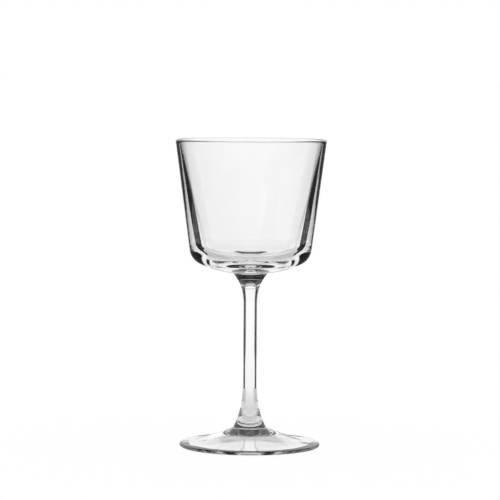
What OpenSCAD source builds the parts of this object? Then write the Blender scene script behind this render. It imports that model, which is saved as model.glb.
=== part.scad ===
// Nick and nora glass: bowl, collar, stem and foot of clear glass, fused end to end on one upright axis.
// Sizes are in millimetres; the table is at z = 0.

/* [Foot] */
// Diameter of the foot over its rounded edge
foot_d = 68.6; // [56:0.2:82]
// Thickness of the foot at its edge, which is fully rounded
foot_edge_t = 1.7; // [1.2:0.1:2.6]
// Height of the foot at the joint with the stem
foot_h = 9; // [7:0.1:12]
// Radius of the hollow curve from the stem down to the edge
foot_top_r = 83; // [60:1:160]
// Width of the flat ring that stands on the table
foot_ring_w = 3.6; // [2.8:0.1:6]
// Height of the hollow under the middle of the foot
foot_hollow_h = 5; // [3.6:0.1:5.6]
// Radius that blends the flat middle of the hollow into its curved side
foot_hollow_r = 8; // [4:0.5:14]

/* [Stem] */
// Diameter of the plain middle of the stem
stem_d = 6.8; // [5.4:0.1:7.6]
// Length of the stem between its two joints
stem_l = 68.3; // [46:0.1:100]
// Diameter of the joint between stem and foot
stem_base_d = 16.2; // [13:0.2:20]
// Length of the lower flare
stem_base_l = 20; // [14:0.5:26]
// Diameter of the joint between stem and collar
stem_top_d = 8.4; // [7.8:0.1:10]
// Length of the upper flare
stem_top_l = 7; // [5:0.2:12]

/* [Collar] */
// Height of the collar
collar_h = 7.5; // [5:0.1:11]
// Diameter of the joint between collar and bowl
collar_d = 17; // [13:0.2:22]
// Radius of the hollow curve up the side of the collar
collar_side_r = 24; // [16:0.5:60]

/* [Bowl] */
// Diameter of the bowl over its rim
rim_d = 73.8; // [64:0.2:84]
// Thickness of the wall at the rim, which is fully rounded
rim_t = 1.4; // [0.9:0.1:2.2]
// Height of the bowl above the collar
bowl_h = 65.2; // [56:0.2:76]
// Lean of the outside of the wall from upright, in degrees
bowl_lean = 7.6; // [5:0.1:10]
// Radius of the shoulder between wall and underside
shoulder_r = 9; // [4:0.5:12]
// Radius of the domed underside
underside_r = 66; // [56:1:100]
// Thickness of the base in the middle
base_t = 6.8; // [5.6:0.2:9]
// Lean of the inside of the wall from upright, in degrees
cavity_lean = 13.3; // [11:0.1:15]
// Radius between the inside of the wall and the floor
cavity_r = 8; // [4:0.5:11]
// Radius of the dished floor
floor_r = 95; // [70:1:140]

/* [Hidden] */
$fn = 96;
wide_fn = 256;
clear = [0.90, 0.94, 0.95, 0.45];
stem_z = foot_h;
collar_z = stem_z + stem_l;
bowl_z = collar_z + collar_h;
// A round is this much oversize, so that it crosses the edges that it blends and doesn't only touch them.
over = 0.001;

// Unit vectors across and down a wall that leans outward by a degrees.
function across(a) = [cos(a), -sin(a)];
function down(a) = [-sin(a), -cos(a)];

// Radius of a circle through the two ends of a chord c long that bows by h.
function bow_r(c, h) = (c * c / 4 + h * h) / (2 * h);

// Point at distances a from p and b from q, on the left of the way from p to q.
function apex(p, q, a, b) =
    let (d = norm(q - p), u = (q - p) / d, k = (a * a - b * b + d * d) / (2 * d))
    p + k * u + sqrt(a * a - k * k) * [-u.y, u.x];

// Centre of a circle of radius r inside both a leaning wall through p and a dome of radius d round s.
function corner(p, a, s, d, r) =
    let (w = p - r * across(a) - s, k = w * down(a))
    p - r * across(a) + (sqrt(k * k - w * w + (d - r) * (d - r)) - k) * down(a);

// Half outline of a cup: leaning wall through p, domed underside with its lowest point at z, rounded shoulder.
module cup(p, lean, z, dome, shoulder) {
    s = [0, z + dome];
    c = corner(p, lean, s, dome, shoulder);
    low = s + dome * (c - s) / norm(c - s);
    polygon([[0, low.y], low, c + shoulder * across(lean), p, [0, p.y]]);
    translate(c)
        circle(shoulder + over);
    intersection() {
        translate(s)
            circle(dome, $fn = wide_fn);
        square([low.x, low.y]);
    }
}

// Foot: pressed disc that rises to the stem, with a rounded edge.
// The hollow below follows the curve of the top and is flat in the middle, so the foot stands on a ring.
module foot() {
    e = foot_edge_t / 2;
    edge = [foot_d / 2 - e, e];
    top = apex([stem_base_d / 2, foot_h], edge, foot_top_r, foot_top_r + e - over);
    brow = edge + (top - edge) * (foot_h - e) / (top.y - e);
    under_r = norm(top - [edge.x - foot_ring_w, 0]);
    reach = under_r + foot_hollow_r;
    dip = foot_hollow_h - foot_hollow_r;
    blend = [top.x - sqrt(reach * reach - (top.y - dip) * (top.y - dip)), dip];
    bend = blend + (top - blend) * foot_hollow_r / reach;
    color(clear)
        rotate_extrude()
            difference() {
                union() {
                    polygon([[0, 0], [edge.x, 0], edge, brow, [0, foot_h]]);
                    translate(edge)
                        circle(e);
                }
                translate(top)
                    circle(foot_top_r, $fn = wide_fn);
                square([blend.x, foot_hollow_h]);
                translate(blend)
                    circle(foot_hollow_r + over);
                difference() {
                    square([edge.x - foot_ring_w, bend.y]);
                    translate(top)
                        circle(under_r, $fn = wide_fn);
                }
            }
}

// Stem: drawn rod that flares to its joints at both ends.
module stem() {
    r = stem_d / 2;
    base = stem_base_d / 2;
    top = stem_top_d / 2;
    base_r = bow_r(2 * stem_base_l, base - r);
    top_r = bow_r(2 * stem_top_l, top - r);
    color(clear)
        translate([0, 0, stem_z])
            rotate_extrude()
                difference() {
                    square([stem_base_d, stem_l]);
                    translate([r, stem_base_l])
                        square([stem_base_d, stem_l - stem_base_l - stem_top_l]);
                    translate([r + base_r, stem_base_l])
                        circle(base_r, $fn = wide_fn);
                    translate([r + top_r, stem_l - stem_top_l])
                        circle(top_r, $fn = wide_fn);
                }
}

// Collar: flared button that spreads the stem under the bowl.
module collar() {
    side = apex([collar_d / 2, collar_h], [stem_top_d / 2, 0], collar_side_r, collar_side_r);
    color(clear)
        translate([0, 0, collar_z])
            rotate_extrude()
                difference() {
                    square([collar_d, collar_h]);
                    translate(side)
                        circle(collar_side_r, $fn = wide_fn);
                }
}

// Bowl: thick cup whose wall thins to a fire-polished rim, flat below where the collar joins it.
module bowl() {
    t = rim_t / 2;
    rim = [rim_d / 2 - t, bowl_h - t];
    outside = rim + t * across(bowl_lean);
    inside = rim - t * across(cavity_lean);
    seat_drop = underside_r - sqrt(underside_r * underside_r - collar_d * collar_d / 4);
    color(clear)
        translate([0, 0, bowl_z])
            rotate_extrude()
                union() {
                    difference() {
                        union() {
                            cup(outside, bowl_lean, -seat_drop, underside_r, shoulder_r);
                            polygon([[0, outside.y], outside, rim, inside, [0, inside.y]]);
                        }
                        cup(inside, cavity_lean, base_t, floor_r, cavity_r);
                    }
                    translate(rim)
                        circle(t + over);
                }
}

bowl();
collar();
stem();
foot();
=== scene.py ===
import math

import bpy
from mathutils import Matrix, Vector


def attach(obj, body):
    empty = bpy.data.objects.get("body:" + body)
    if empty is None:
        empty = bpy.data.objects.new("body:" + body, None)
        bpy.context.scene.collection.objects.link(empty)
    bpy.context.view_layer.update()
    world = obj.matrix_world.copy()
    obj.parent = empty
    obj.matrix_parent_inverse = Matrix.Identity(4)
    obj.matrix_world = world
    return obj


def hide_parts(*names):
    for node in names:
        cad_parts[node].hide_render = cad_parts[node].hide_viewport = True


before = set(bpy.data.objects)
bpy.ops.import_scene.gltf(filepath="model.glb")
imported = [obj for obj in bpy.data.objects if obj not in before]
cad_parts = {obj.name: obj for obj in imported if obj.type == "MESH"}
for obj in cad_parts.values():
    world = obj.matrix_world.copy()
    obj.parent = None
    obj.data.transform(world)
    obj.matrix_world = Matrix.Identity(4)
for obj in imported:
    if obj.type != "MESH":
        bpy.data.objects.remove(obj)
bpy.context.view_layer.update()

# Foot: a pressed disc of clear soda-lime glass that rises in a hollow curve to the stem.
# Its edge is fire-polished round, its underside is dished, and it stands on a narrow flat ring.
# It is fused hot to the stem, so the face where they meet bends no light.


class Wire:
    """A socket in a node tree. Sums on wires add the nodes that work them out."""

    def __init__(self, tree, socket=None):
        self.tree = tree
        self.socket = socket

    def add(self, kind, settings=None, inputs=None, output=0):
        """A node of that kind, with its settings made first and then its sockets filled."""
        node = self.tree.nodes.new(kind)
        for name, value in (settings or {}).items():
            setattr(node, name, value)
        for key, value in (inputs or {}).items():
            if isinstance(value, Wire):
                self.tree.links.new(value.socket, node.inputs[key])
            else:
                node.inputs[key].default_value = value
        return Wire(self.tree, node.outputs[output] if len(node.outputs) else None)

    def outputs(self):
        """Every output of the node that this wire comes from, by name."""
        return {socket.name: Wire(self.tree, socket) for socket in self.socket.node.outputs}

    def maths(self, operation, *values):
        return self.add("ShaderNodeMath", {"operation": operation}, dict(enumerate(values)))

    def __add__(self, other):
        return self.maths("ADD", self, other)

    def __radd__(self, other):
        return self.maths("ADD", other, self)

    def __sub__(self, other):
        return self.maths("SUBTRACT", self, other)

    def __rsub__(self, other):
        return self.maths("SUBTRACT", other, self)

    def __mul__(self, other):
        return self.maths("MULTIPLY", self, other)

    def __rmul__(self, other):
        return self.maths("MULTIPLY", other, self)

    def __truediv__(self, other):
        return self.maths("DIVIDE", self, other)

    def __rtruediv__(self, other):
        return self.maths("DIVIDE", other, self)

    def __neg__(self):
        return self.maths("MULTIPLY", self, -1.0)

    def __abs__(self):
        return self.maths("ABSOLUTE", self)

    def __lt__(self, other):
        return self.maths("LESS_THAN", self, other)

    def __gt__(self, other):
        return self.maths("GREATER_THAN", self, other)


def bare_bench(block):
    """A place for new nodes in a material or a world, cleared of the nodes that it comes with."""
    block.use_nodes = True
    block.node_tree.nodes.clear()
    return Wire(block.node_tree)


refraction = 1.51
clear_tint = (0.993, 0.993, 0.993, 1)
hazy_tint = (0.987, 0.989, 0.988, 1)
haze_patches_per_metre = 90.0
haze_starts = 0.35
haze_full = 0.7


def clear_glass(name, wave, rise, haze, marks=None):
    """Clear glass with slow waves, patchy faint haze and, between two levels, a tool's rings; in metres."""
    material = bpy.data.materials.new(name)
    bench = bare_bench(material)
    spot = bench.add("ShaderNodeTexCoord", output="Object")
    waves = bench.add("ShaderNodeTexNoise", {}, {"Vector": spot, "Scale": 1 / wave, "Detail": 1.0})
    relief = waves * rise
    if marks:
        level = bench.add("ShaderNodeSeparateXYZ", {}, {0: spot}, output="Z")
        middle = (marks["low"] + marks["high"]) / 2
        half = (marks["high"] - marks["low"]) / 2
        offset = (level - middle) / half
        within = bench.maths("MAXIMUM", 1 - offset * offset, 0.0)
        rings = bench.maths("SINE", (level + waves * marks["pitch"]) * (2 * math.pi / marks["pitch"]))
        relief = relief + marks["depth"] * within * rings
    cloud = bench.add("ShaderNodeTexNoise", {},
                      {"Vector": spot, "Scale": haze_patches_per_metre, "Detail": 3.0})
    patch = bench.add("ShaderNodeMapRange", {},
                      {"Value": cloud, "From Min": haze_starts, "From Max": haze_full})
    tint = bench.add("ShaderNodeMix", {"data_type": "RGBA"},
                     {0: patch, 6: clear_tint, 7: hazy_tint}, output=2)
    normal = bench.add("ShaderNodeBump", {}, {"Strength": 1.0, "Distance": 1.0, "Height": relief})
    glass = bench.add("ShaderNodeBsdfPrincipled", {}, {
        "Base Color": tint, "Roughness": patch * haze, "IOR": refraction, "Transmission Weight": 1.0,
        "Normal": normal})
    bench.add("ShaderNodeOutputMaterial", {}, {"Surface": glass})
    return material


fused_face = bpy.data.materials.new("fused_face")
fused_bench = bare_bench(fused_face)
fused_glass = fused_bench.add("ShaderNodeBsdfPrincipled", {}, {
    "Base Color": (1, 1, 1, 1), "Roughness": 0.0, "IOR": 1.0, "Transmission Weight": 1.0})
fused_bench.add("ShaderNodeOutputMaterial", {}, {"Surface": fused_glass})

# The tree turns a half outline about the upright axis: a flat sheet, with one row for each point
# of the outline, is bent round and welded shut. Joints are heights, and one below the table is none.
no_joint = -1.0
weld_distance = 1e-7
joint_slack = 1e-6
turned_glass = bpy.data.node_groups.new("turned_glass", "GeometryNodeTree")
for label, kind, usual in (
        ("Outline", "Geometry", None), ("Steps round", "Int", 256),
        ("Ripple depth", "Float", 0.0), ("Ripple length", "Float", 0.02), ("Seed", "Float", 0.0),
        ("Lower joint", "Float", no_joint), ("Upper joint", "Float", no_joint),
        ("Glass", "Material", None), ("Fused face", "Material", fused_face)):
    entry = turned_glass.interface.new_socket(label, in_out="INPUT", socket_type="NodeSocket" + kind)
    if usual is not None:
        entry.default_value = usual
turned_glass.interface.new_socket("Turned", in_out="OUTPUT", socket_type="NodeSocketGeometry")
lathe = Wire(turned_glass)
given = lathe.add("NodeGroupInput").outputs()
rows = lathe.add("GeometryNodeAttributeDomainSize", {"component": "MESH"}, {0: given["Outline"]})
columns = given["Steps round"] + 1
sheet = lathe.add("GeometryNodeMeshGrid", {}, {"Vertices X": rows, "Vertices Y": columns}).outputs()
index = lathe.add("GeometryNodeInputIndex")
row = lathe.maths("FLOOR", (index + 0.5) / columns)
column = index - row * columns
position = lathe.add("GeometryNodeInputPosition")


def at_row(kind, value):
    """What the outline's point for this row holds."""
    return lathe.add("GeometryNodeSampleIndex", {"data_type": kind, "domain": "POINT"},
                     {"Geometry": given["Outline"], "Value": value, "Index": row})


outline_point = lathe.add("ShaderNodeSeparateXYZ", {}, {0: at_row("FLOAT_VECTOR", position)}).outputs()
stored_give = lathe.add("GeometryNodeInputNamedAttribute", {"data_type": "FLOAT"}, {"Name": "give"})
row_give = at_row("FLOAT", stored_give)
angle = column * (2 * math.pi) / given["Steps round"]
cosine = lathe.maths("COSINE", angle)
sine = lathe.maths("SINE", angle)


def turned(radius):
    """The place at that radius, at this row's height and this column's angle."""
    return lathe.add("ShaderNodeCombineXYZ", {},
                     {0: radius * cosine, 1: radius * sine, 2: outline_point["Z"]})


ripple_place = lathe.add("ShaderNodeVectorMath", {"operation": "DIVIDE"},
                         {0: turned(outline_point["X"]), 1: given["Ripple length"]})
ripple = lathe.add("ShaderNodeTexNoise", {"noise_dimensions": "4D"},
                   {"Vector": ripple_place, "W": given["Seed"], "Scale": 1.0, "Detail": 0.0})
skin_place = turned(outline_point["X"] - ripple * row_give * given["Ripple depth"])
skin = lathe.add("GeometryNodeSetPosition", {}, {"Geometry": sheet["Mesh"], "Position": skin_place})
skin = lathe.add("GeometryNodeStoreNamedAttribute", {"data_type": "FLOAT2", "domain": "CORNER"},
                 {"Geometry": skin, "Name": "UVMap", "Value": sheet["UV Map"]})
skin = lathe.add("GeometryNodeMergeByDistance", {}, {"Geometry": skin, "Distance": weld_distance})
skin = lathe.add("GeometryNodeFlipFaces", {}, {"Mesh": skin})
level = lathe.add("ShaderNodeSeparateXYZ", {}, {0: position}, output="Z")
fused = lathe.maths("MAXIMUM", abs(level - given["Lower joint"]) < joint_slack,
                    abs(level - given["Upper joint"]) < joint_slack)
skin = lathe.add("GeometryNodeSetShadeSmooth", {}, {"Geometry": skin, "Shade Smooth": True})
skin = lathe.add("GeometryNodeSetShadeSmooth", {},
                 {"Geometry": skin, "Selection": fused, "Shade Smooth": False})
skin = lathe.add("GeometryNodeRealizeInstances", {}, {0: skin})
skin = lathe.add("GeometryNodeSetMaterial", {}, {"Geometry": skin, "Material": given["Glass"]})
skin = lathe.add("GeometryNodeSetMaterial", {},
                 {"Geometry": skin, "Selection": fused, "Material": given["Fused face"]})
lathe.add("NodeGroupOutput", {}, {0: skin})

# Outlines and the sizes of the pieces are in millimetres; meshes and the tree's inputs are in metres.
metre = 1000.0


def turned_piece(name, outline, sizes, give=None):
    """A closed piece turned from its half outline, whose points move with the ripple by their give."""
    mesh = bpy.data.meshes.new(name + "_outline")
    edges = [(k, k + 1) for k in range(len(outline) - 1)]
    mesh.from_pydata([(radius / metre, 0, height / metre) for radius, height in outline], edges, [])
    mesh.attributes.new("give", "FLOAT", "POINT").data.foreach_set("value", give or [0.0] * len(outline))
    blank = bpy.data.objects.new(name + "_outline", mesh)
    bpy.context.scene.collection.objects.link(blank)
    modifier = blank.modifiers.new("turning", "NODES")
    modifier.node_group = turned_glass
    for item in turned_glass.interface.items_tree:
        if item.in_out == "INPUT" and item.name in sizes:
            modifier[item.identifier] = sizes[item.name]
    bpy.context.view_layer.update()
    ready = blank.evaluated_get(bpy.context.evaluated_depsgraph_get())
    piece = bpy.data.objects.new(name, bpy.data.meshes.new_from_object(ready))
    piece.data.name = name
    # The first slot is the empty one of the sheet.
    piece.data.materials.pop(index=0)
    bpy.data.objects.remove(blank)
    bpy.context.scene.collection.objects.link(piece)
    return piece


def between(start, end, share):
    """The point that lies that share of the way from start to end."""
    return start[0] + (end[0] - start[0]) * share, start[1] + (end[1] - start[1]) * share


def arc(centre, start, end, steps):
    """Points from start to end round a centre, the short way."""
    first = math.atan2(start[1] - centre[1], start[0] - centre[0])
    last = math.atan2(end[1] - centre[1], end[0] - centre[0])
    sweep = (last - first + math.pi) % (2 * math.pi) - math.pi
    radius = math.dist(centre, start)
    angles = [first + sweep * k / steps for k in range(steps + 1)]
    return [(centre[0] + radius * math.cos(a), centre[1] + radius * math.sin(a)) for a in angles]


def apex(first, second, from_first, from_second):
    """The point at those distances from two points, on the left of the way from first to second."""
    gap = math.dist(first, second)
    along = (from_first ** 2 - from_second ** 2 + gap ** 2) / (2 * gap)
    aside = math.sqrt(from_first ** 2 - along ** 2) / gap
    below = between(first, second, along / gap)
    return below[0] - aside * (second[1] - first[1]), below[1] + aside * (second[0] - first[0])


foot_radius = 34.3
foot_edge_round = 0.85
foot_height = 9.0
foot_top_round = 83.0
foot_ring_width = 3.6
hollow_height = 5.0
hollow_round = 8.0
stem_base_radius = 8.1
foot_glass = clear_glass("foot_glass", wave=0.011, rise=2e-4, haze=0.04)

edge_middle = (foot_radius - foot_edge_round, foot_edge_round)
edge_point = (foot_radius, foot_edge_round)
foot_joint = (stem_base_radius, foot_height)
top_reach = foot_top_round + foot_edge_round
top_middle = apex(foot_joint, edge_middle, foot_top_round, top_reach)
brow = between(edge_middle, top_middle, foot_edge_round / top_reach)
ring_outside = (edge_middle[0], 0)
ring_inside = (edge_middle[0] - foot_ring_width, 0)
hollow_reach = math.dist(top_middle, ring_inside) + hollow_round
hollow_drop = top_middle[1] - hollow_height + hollow_round
hollow_width = top_middle[0] - math.sqrt(hollow_reach ** 2 - hollow_drop ** 2)
hollow_middle = (hollow_width, hollow_height - hollow_round)
bend = between(hollow_middle, top_middle, hollow_round / hollow_reach)
foot_line = ([(0, hollow_height)]
             + arc(hollow_middle, (hollow_width, hollow_height), bend, steps=20)
             + arc(top_middle, bend, ring_inside, steps=40)[1:]
             + arc(edge_middle, ring_outside, edge_point, steps=8)
             + arc(edge_middle, edge_point, brow, steps=8)[1:]
             + arc(top_middle, brow, foot_joint, steps=60)[1:]
             + [(0, foot_height)])
foot = turned_piece("foot_piece", foot_line, {
    "Steps round": 256, "Upper joint": foot_height / metre, "Glass": foot_glass})
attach(foot, "root")
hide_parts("foot")

# Stem: a rod drawn from clear glass, slim in the middle and flared at both ends.
# It is fused hot to the foot below and to the collar above. A tool left faint rings in its lower flare.

stem_radius = 3.4
stem_top_radius = 4.2
stem_top = 77.3
lower_flare_length = 20.0
upper_flare_length = 7.0
stem_marks = {"low": 0.010, "high": 0.022, "pitch": 0.0024, "depth": 4e-6}
stem_glass = clear_glass("stem_glass", wave=0.02, rise=2e-5, haze=0.01, marks=stem_marks)


def straight(start, end, steps):
    return [between(start, end, k / steps) for k in range(steps + 1)]


def flare_round(length, spread):
    """Radius of the curve that leaves the rod's side smoothly and spreads it over that length."""
    return (length ** 2 + spread ** 2) / (2 * spread)


lower_flare_end = foot_height + lower_flare_length
upper_flare_start = stem_top - upper_flare_length
lower_middle = stem_radius + flare_round(lower_flare_length, stem_base_radius - stem_radius)
upper_middle = stem_radius + flare_round(upper_flare_length, stem_top_radius - stem_radius)
rod_low = (stem_radius, lower_flare_end)
rod_high = (stem_radius, upper_flare_start)
stem_joint = (stem_top_radius, stem_top)
stem_line = ([(0, foot_height)]
             + arc((lower_middle, lower_flare_end), foot_joint, rod_low, steps=40)
             + straight(rod_low, rod_high, steps=40)[1:]
             + arc((upper_middle, upper_flare_start), rod_high, stem_joint, steps=20)[1:]
             + [(0, stem_top)])
stem = turned_piece("stem_piece", stem_line, {
    "Steps round": 128, "Lower joint": foot_height / metre, "Upper joint": stem_top / metre,
    "Glass": stem_glass})
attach(stem, "root")
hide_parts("stem")

# Collar: a short flared button of clear glass that spreads the stem under the bowl.
# It is tooled while soft, which leaves faint rings, and fused hot to both.

collar_radius = 8.5
collar_top = 84.8
collar_side_round = 24.0
collar_marks = {"low": 0.078, "high": 0.0845, "pitch": 0.0022, "depth": 6e-6}
collar_glass = clear_glass("collar_glass", wave=0.008, rise=2e-5, haze=0.01, marks=collar_marks)

collar_joint = (collar_radius, collar_top)
collar_side = apex(collar_joint, stem_joint, collar_side_round, collar_side_round)
collar_line = ([(0, stem_top)]
               + arc(collar_side, stem_joint, collar_joint, steps=30)
               + [(0, collar_top)])
collar = turned_piece("collar_piece", collar_line, {
    "Steps round": 192, "Lower joint": stem_top / metre, "Upper joint": collar_top / metre,
    "Glass": collar_glass})
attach(collar, "root")
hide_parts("collar")

# Bowl: a thick cup of clear glass, pressed with a straight leaning wall, a round shoulder
# and a domed underside. Its wall thins to a fire-polished rim, and is faintly rippled inside.
# The middle of its underside is fused hot to the collar.

rim_radius = 36.9
rim_round = 0.7
bowl_top = 150.0
outside_lean = 7.6
shoulder_round = 9.0
underside_round = 66.0
base_thickness = 6.8
inside_lean = 13.3
corner_round = 8.0
dish_round = 95.0
wall_ripple = 0.25
wall_ripple_length = 30.0
wall_steps = 60
bowl_glass = clear_glass("bowl_glass", wave=0.025, rise=3e-5, haze=0.01)


def across_wall(lean):
    """The unit step outward, square to a wall that leans outward by that many degrees."""
    return math.cos(math.radians(lean)), -math.sin(math.radians(lean))


def moved(point, way, distance):
    return point[0] + way[0] * distance, point[1] + way[1] * distance


def cup(lip, lean, lowest, dome, shoulder):
    """Middle of a cup's dome, middle of its rounded shoulder, and the shoulder's lower and upper ends."""
    out = across_wall(lean)
    down = (out[1], -out[0])
    dome_middle = (0, lowest + dome)
    start = moved(lip, out, -shoulder)
    slide = start[0] * down[0] + (start[1] - dome_middle[1]) * down[1]
    gap = math.dist(start, dome_middle)
    drop = math.sqrt(slide ** 2 - gap ** 2 + (dome - shoulder) ** 2) - slide
    shoulder_middle = moved(start, down, drop)
    heel = between(dome_middle, shoulder_middle, dome / math.dist(dome_middle, shoulder_middle))
    return dome_middle, shoulder_middle, heel, moved(shoulder_middle, out, shoulder)


rim = (rim_radius - rim_round, bowl_top - rim_round)
rim_crown = (rim[0], bowl_top)
lip_outside = moved(rim, across_wall(outside_lean), rim_round)
lip_inside = moved(rim, across_wall(inside_lean), -rim_round)
seat_drop = underside_round - math.sqrt(underside_round ** 2 - collar_radius ** 2)
dish_height = collar_top + base_thickness
dome_middle, shoulder_middle, heel, hip = cup(
    lip_outside, outside_lean, collar_top - seat_drop, underside_round, shoulder_round)
dish_middle, corner_middle, dish_edge, wall_end = cup(
    lip_inside, inside_lean, dish_height, dish_round, corner_round)
outside = ([(0, collar_top)]
           + arc(dome_middle, collar_joint, heel, steps=24)
           + arc(shoulder_middle, heel, hip, steps=24)[1:]
           + straight(hip, lip_outside, steps=50)[1:]
           + arc(rim, lip_outside, rim_crown, steps=8)[1:]
           + arc(rim, rim_crown, lip_inside, steps=8)[1:])
wall = straight(lip_inside, wall_end, wall_steps)[1:]
dish = (arc(corner_middle, wall_end, dish_edge, steps=30)[1:]
        + arc(dish_middle, dish_edge, (0, dish_height), steps=30)[1:])
wall_give = [math.sin(math.pi * k / wall_steps) ** 2 for k in range(1, wall_steps + 1)]
bowl_give = [0.0] * len(outside) + wall_give + [0.0] * len(dish)
bowl = turned_piece("bowl_piece", outside + wall + dish, {
    "Steps round": 256, "Ripple depth": wall_ripple / metre, "Ripple length": wall_ripple_length / metre,
    "Seed": 7.0, "Lower joint": collar_top / metre, "Glass": bowl_glass}, bowl_give)
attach(bowl, "root")
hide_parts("bowl")

# Studio: a plain pale floor in an even white room, with three dark screens on its diagonals that only the
# glass sees.
# The camera sees white all round. What a ray from the glass finds depends on how many surfaces it has met,
# so that the screens' painted black, the floor's painted shade and the dark parts of the sky draw the edges
# of the glass. In metres.


def studio_piece(name, corners, faces, material):
    mesh = bpy.data.meshes.new(name)
    mesh.from_pydata(corners, [], faces)
    mesh.materials.append(material)
    piece = bpy.data.objects.new(name, mesh)
    bpy.context.scene.collection.objects.link(piece)
    return piece


def ramp(value, limits, start=0.0, end=1.0):
    """A smooth way from start to end while the value goes from the lower limit to the upper one."""
    low, high = limits
    return value.add("ShaderNodeMapRange", {"interpolation_type": "SMOOTHSTEP"}, {
        "Value": value, "From Min": low, "From Max": high, "To Min": start, "To Max": end})


def swap(first, second, share):
    """The first shade where the share is 0, and the second where it is 1."""
    return first * (1 - share) + second * share


def darken(shade, strength, mask):
    return shade * (1 - strength * mask)


def fade(distance, reach):
    return distance.maths("EXPONENT", distance / -reach)


def plan(x, y):
    """Distance from the axis on plan, and a slant that is 1 on the diagonals and 0 along X and Y."""
    far = x.maths("SQRT", x * x + y * y)
    return far, abs(2 * x * y) / (far * far)


# The dark diagonals: three corners of the room, weaker at the front, and none at the front right
diagonal_edge = (0.78, 0.9)
front_weakening = 0.5


def dark_diagonal(x, y, slant):
    front = y < 0.0
    open_corner = front * (x > 0.0)
    return ramp(slant, diagonal_edge) * (1 - open_corner) * (1 - front_weakening * front)


def only_mirrored(path):
    """1 for a ray that was last mirrored, and 0 for one that came through."""
    return path["Is Glossy Ray"] * (1 - path["Is Transmission Ray"])


def at_least(met, count):
    """1 for a ray that has met that many surfaces or more."""
    return met > count - 0.5


floor_reach = 30.0
floor_drop = 0.0002
floor_white = (0.95, 0.95, 0.95, 1)
glow_strength = 1.01
glow_share = 0.9
pale = bpy.data.materials.new("pale_floor")
bench = bare_bench(pale)
path = bench.add("ShaderNodeLightPath").outputs()
spot = bench.add("ShaderNodeTexCoord", output="Object")
axes = bench.add("ShaderNodeSeparateXYZ", {}, {0: spot}).outputs()
x = axes["X"]
y = axes["Y"]
far, slant = plan(x, y)
away = y / far

# Seen through the glass: a painted shadow round the foot, deeper behind it, and a wide faint painted shade
contact_front = 0.06
contact_back = 0.3
contact_edge = 0.034
contact_reach = 0.09
front_to_back = (-0.003, 0.006)
wide_shade = 0.06
wide_reach = 0.5
contact = swap(contact_front, contact_back, ramp(y, front_to_back))
shade = 1 - contact * bench.maths("MINIMUM", fade(far - contact_edge, contact_reach), 1.0)
shade = shade - wide_shade * fade(far, wide_reach)

# Two pairs of soft painted shadow spots under the foot: beside the stem, and towards the foot's two ends
for shadow_spot in ({"strength": 0.2, "side": 0.0105, "behind": 0.005, "width": 0.004, "length": 0.005},
             {"strength": 0.18, "side": 0.022, "behind": -0.005, "width": 0.006, "length": 0.005}):
    across = (abs(x) - shadow_spot["side"]) / shadow_spot["width"]
    along = (y - shadow_spot["behind"]) / shadow_spot["length"]
    shade = shade - shadow_spot["strength"] * bench.maths("EXPONENT", -(across * across + along * along))

# Painted shade seen through the glass: grey patches on the diagonals near the glass, then the dark
# diagonals, and a dark far floor for rays that have met more than the four surfaces of the bowl's two walls
patch_dark = 0.32
patch_edge = (0.5, 0.95)
patch_start = (0.04, 0.07)
patch_end = (0.16, 0.24)
diagonal_dark = 0.95
diagonal_start = (0.34, 0.46)
far_floor_dark = 0.9
far_floor_start = (0.3, 0.42)
patches = ramp(slant, patch_edge) * ramp(far, patch_start) * (1 - ramp(far, patch_end))
shade = darken(shade, patch_dark, patches)
shade = darken(shade, diagonal_dark, dark_diagonal(x, y, slant) * ramp(far, diagonal_start))
shade = darken(shade, far_floor_dark, at_least(path["Ray Depth"], 5) * ramp(far, far_floor_start))

# Painted reflection, mirrored in the glass: grey close by, bright in front and straight behind, and dark at
# the sides
near_grey = 0.35
near_end = (0.06, 0.2)
side_dark = 0.12
front_grey = 0.5
front_brightening = (0.35, 0.6)
front_to_side = (-0.9, -0.2)
behind_bright = 0.85
straight_behind = (0.93, 0.985)
sheen = ramp(far, front_brightening, front_grey, 1.0)
sheen = swap(sheen, side_dark, ramp(away, front_to_side))
sheen = sheen + behind_bright * ramp(away, straight_behind)
sheen = swap(near_grey, sheen, ramp(far, near_end))
shade = swap(shade, sheen, only_mirrored(path))

lit = bench.add("ShaderNodeBsdfDiffuse", {}, {"Color": floor_white})
glow = bench.add("ShaderNodeEmission", {}, {"Color": (1, 1, 1, 1), "Strength": glow_strength})
seen = bench.add("ShaderNodeMixShader", {}, {0: path["Is Camera Ray"] * glow_share, 1: lit, 2: glow})
# To glass rays the floor is only a glow of this painted shade and painted reflection, not lit.
in_glass = bench.add("ShaderNodeEmission", {}, {"Color": shade, "Strength": 1.0})
through = bench.maths("MAXIMUM", path["Is Glossy Ray"], path["Is Transmission Ray"])
floor_look = bench.add("ShaderNodeMixShader", {}, {0: through, 1: seen, 2: in_glass})
bench.add("ShaderNodeOutputMaterial", {}, {"Surface": floor_look})
floor_corners = [(-floor_reach, -floor_reach, 0), (floor_reach, -floor_reach, 0),
                 (floor_reach, floor_reach, 0), (-floor_reach, floor_reach, 0)]
floor = studio_piece("floor", floor_corners, [(0, 1, 2, 3)], pale)
floor.location.z = -floor_drop

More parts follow.
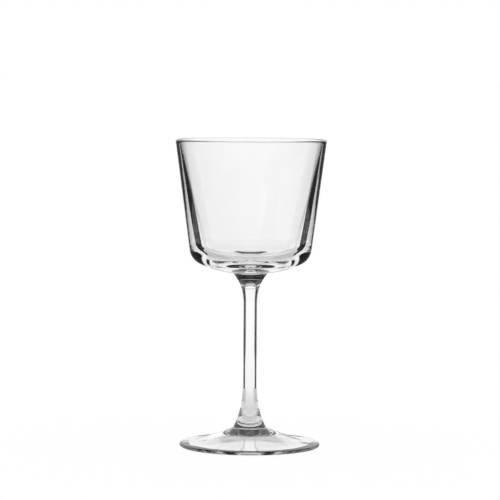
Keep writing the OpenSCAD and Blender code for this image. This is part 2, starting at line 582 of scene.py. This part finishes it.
# The screens' painted black shows to a ray after three surfaces, at the back or high up, and low down after
# two.
screen_radius = 0.18
screen_bottom = 0.0005
screen_top = 0.13
screen_spread = 24
screen_steps = 8
dark_high = 0.08
dark_low = 0.04
painted_black = (0.01, 0.01, 0.01, 1)
dark_screen = bpy.data.materials.new("painted_dark_screen")
bench = bare_bench(dark_screen)
path = bench.add("ShaderNodeLightPath").outputs()
spot = bench.add("ShaderNodeTexCoord", output="Object")
axes = bench.add("ShaderNodeSeparateXYZ", {}, {0: spot}).outputs()
after_three = at_least(path["Ray Depth"], 3) * (1 - at_least(path["Ray Depth"], 4))
after_two = at_least(path["Ray Depth"], 2) * (1 - at_least(path["Ray Depth"], 3))
upper_dark = after_three * bench.maths("MAXIMUM", axes["Y"] > 0.0, axes["Z"] > dark_high)
lower_dark = after_two * (axes["Z"] < dark_low)
# A painted black glow where it shows and clear elsewhere, so that the glass gets painted dark edges.
black_glow = bench.add("ShaderNodeEmission", {}, {"Color": painted_black, "Strength": 1.0})
nothing = bench.add("ShaderNodeBsdfTransparent")
screen_look = bench.add("ShaderNodeMixShader", {},
                      {0: bench.maths("MAXIMUM", upper_dark, lower_dark), 1: nothing, 2: black_glow})
bench.add("ShaderNodeOutputMaterial", {}, {"Surface": screen_look})
screen_corners = []
screen_faces = []
for middle in (45, 135, 225):
    first = len(screen_corners)
    for k in range(screen_steps + 1):
        turn = math.radians(middle - screen_spread / 2 + screen_spread * k / screen_steps)
        upright = (screen_radius * math.cos(turn), screen_radius * math.sin(turn))
        screen_corners += [(*upright, screen_bottom), (*upright, screen_top)]
    screen_faces += [(k, k + 2, k + 3, k + 1) for k in range(first, first + 2 * screen_steps, 2)]
screens = studio_piece("screens", screen_corners, screen_faces, dark_screen)
screens.visible_camera = False
screens.visible_diffuse = False
screens.visible_glossy = False
screens.visible_shadow = False


def heights(low, high):
    """How high two unit vectors reach that rise by those angles, in degrees."""
    return math.sin(math.radians(low)), math.sin(math.radians(high))


world = bpy.data.worlds.new("studio")
bpy.context.scene.world = world
bench = bare_bench(world)
path = bench.add("ShaderNodeLightPath").outputs()
way = bench.add("ShaderNodeTexCoord", output="Generated")
axes = bench.add("ShaderNodeSeparateXYZ", {}, {0: way}).outputs()
x = axes["X"]
y = axes["Y"]
z = axes["Z"]
far, slant = plan(x, y)
away = y / far
# The sky reads a ray's depth one higher than a surface does.
met = path["Ray Depth"] - 1
past_walls = at_least(met, 4)
last_met = at_least(met, 8)

# The low sky is white but for the dark diagonals and a grey front right.
corner_grey = 0.35
corner_end = (-0.6, -0.2)
from_corner = (y - x) / (math.sqrt(2) * far)
low_sky = ramp(from_corner, corner_end, corner_grey, 1.0)
low_sky = darken(low_sky, diagonal_dark, dark_diagonal(x, y, slant))

# Above it stands a dark ring, white only at the front. It starts lower for rays that have met the
# four surfaces of the bowl's walls, and its lower part is pale for rays at the end of their bounces.
ring_dark = 0.06
ring_front_end = (-0.95, -0.75)
ring_start = heights(24, 30)
ring_lowering = 0.08
last_pale = 0.95
last_pale_end = heights(43, 48)
ring = bench.maths("MAXIMUM", ramp(away, ring_front_end, 1.0, ring_dark),
                   last_met * ramp(z, last_pale_end, last_pale, 0.0))
shade = swap(low_sky, ring, ramp(z + ring_lowering * past_walls, ring_start))

# After the bowl's walls a little more light comes from the front, and a dark ceiling closes the sky.
front_light = 0.2
front_light_end = (-0.8, -0.55)
ceiling_dark = 0.03
ceiling_start = heights(48, 56)
shade = swap(shade, 1.0, front_light * past_walls * ramp(away, front_light_end, 1.0, 0.0))
shade = swap(shade, ceiling_dark, ramp(z, ceiling_start))

# Mirrored in the glass: a grey sky, white behind and dim overhead
sky_grey = 0.5
sky_behind = (0.4, 0.8)
overhead_dim = 0.15
overhead_start = heights(42, 50)
mirrored_sky = ramp(away, sky_behind, sky_grey, 1.0) * ramp(z, overhead_start, 1.0, overhead_dim)
shade = swap(shade, mirrored_sky, only_mirrored(path))

# Seen by the camera, and as the light on the floor, the sky is plain white.
plain = bench.maths("MAXIMUM", path["Is Camera Ray"], path["Is Diffuse Ray"])
sky = bench.add("ShaderNodeBackground", {}, {"Color": swap(shade, 1.0, plain), "Strength": 1.0})
bench.add("ShaderNodeOutputWorld", {}, {"Surface": sky})

# Camera: a long lens 1.3 m in front of the glass and a little above its rim, set to match the photograph.
# It looks down by four degrees, and is rolled by about a third of a degree.
# Light is followed through seven bounces; what goes on longer inside the glass stays black.

lens_length = 192.9
roll = 0.35
bounces = 7
eye = Vector((-0.0003, -1.304, 0.1882))
aim = Vector((-0.0003, 0, 0.0961))
camera = bpy.data.objects.new("camera", bpy.data.cameras.new("camera"))
camera.data.lens = lens_length
facing = (aim - eye).to_track_quat("-Z", "Y").to_matrix() @ Matrix.Rotation(math.radians(roll), 3, "Z")
camera.matrix_world = Matrix.LocRotScale(eye, facing, None)
bpy.context.scene.collection.objects.link(camera)
scene = bpy.context.scene
scene.camera = camera
scene.view_settings.view_transform = "Standard"
scene.cycles.max_bounces = bounces
scene.cycles.transmission_bounces = bounces
scene.cycles.glossy_bounces = bounces
